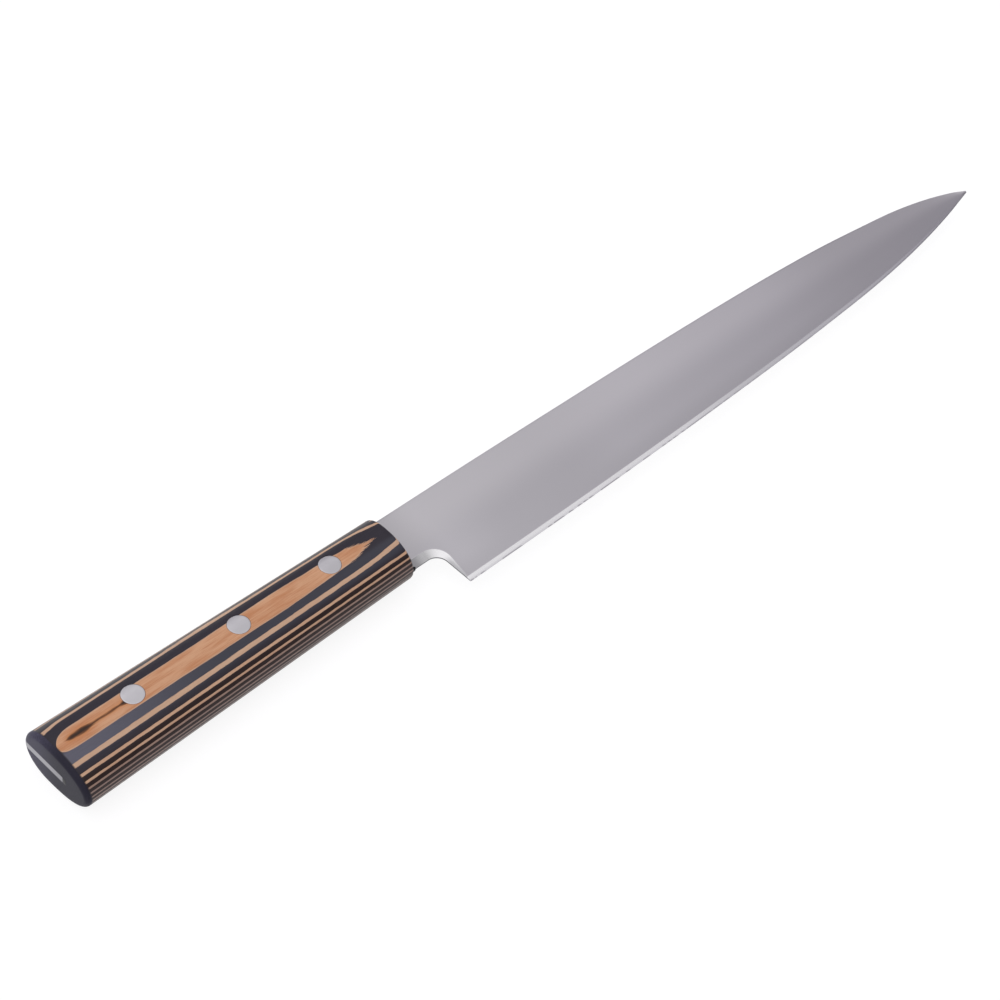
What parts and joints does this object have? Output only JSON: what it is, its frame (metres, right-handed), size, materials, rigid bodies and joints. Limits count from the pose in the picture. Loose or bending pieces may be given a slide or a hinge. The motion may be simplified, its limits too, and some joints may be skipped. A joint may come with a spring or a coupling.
{
  "type": "yanagiba knife",
  "caption": "Long single-bevel slicing knife with a slotted, riveted handle of striped resin-bonded veneers and a rounded choil.",
  "frame": {"origin": "on the flat butt face, where the line of rivets meets the middle plane of the tang", "axes": "+X from the butt to the tip, +Y from the cutting edge to the spine, +Z out of the right face of the blade, so that the knife lies on its left side"},
  "size_m": [0.406, 0.0386, 0.0176],
  "materials": {
    "blade_steel": "satin ground stainless steel with a bright polished edge bevel and choil",
    "rivet_steel": "fine satin, ground flush with the handle",
    "tan_veneer": "resin-filled tan birch veneer, satin",
    "dark_veneer": "resin-filled veneer dyed blue-black, satin",
    "butt_resin": "dark slate resin that seals the butt, satin",
    "slot_glue": "dark epoxy, flush and semi-gloss"
  },
  "bodies": {
    "root": {"blade": "blade_steel", "butt_cap": "butt_resin", "dark_veneer_left_1": "dark_veneer", "dark_veneer_left_2": "dark_veneer", "dark_veneer_left_3": "dark_veneer", "dark_veneer_left_4": "dark_veneer", "dark_veneer_left_5": "dark_veneer", "dark_veneer_left_6": "dark_veneer", "dark_veneer_left_7": "dark_veneer", "dark_veneer_right_1": "dark_veneer", "dark_veneer_right_2": "dark_veneer", "dark_veneer_right_3": "dark_veneer", "dark_veneer_right_4": "dark_veneer", "dark_veneer_right_5": "dark_veneer", "dark_veneer_right_6": "dark_veneer", "dark_veneer_right_7": "dark_veneer", "rivet_pin_front": "rivet_steel", "rivet_pin_middle": "rivet_steel", "rivet_pin_rear": "rivet_steel", "rivet_tube_front": "rivet_steel", "rivet_tube_middle": "rivet_steel", "rivet_tube_rear": "rivet_steel", "slot_filler": "slot_glue", "tan_veneer_core": "tan_veneer", "tan_veneer_left_1": "tan_veneer", "tan_veneer_left_2": "tan_veneer", "tan_veneer_left_3": "tan_veneer", "tan_veneer_left_4": "tan_veneer", "tan_veneer_left_5": "tan_veneer", "tan_veneer_left_6": "tan_veneer", "tan_veneer_left_7": "tan_veneer", "tan_veneer_right_1": "tan_veneer", "tan_veneer_right_2": "tan_veneer", "tan_veneer_right_3": "tan_veneer", "tan_veneer_right_4": "tan_veneer", "tan_veneer_right_5": "tan_veneer", "tan_veneer_right_6": "tan_veneer", "tan_veneer_right_7": "tan_veneer"}
  },
  "joints": []
}
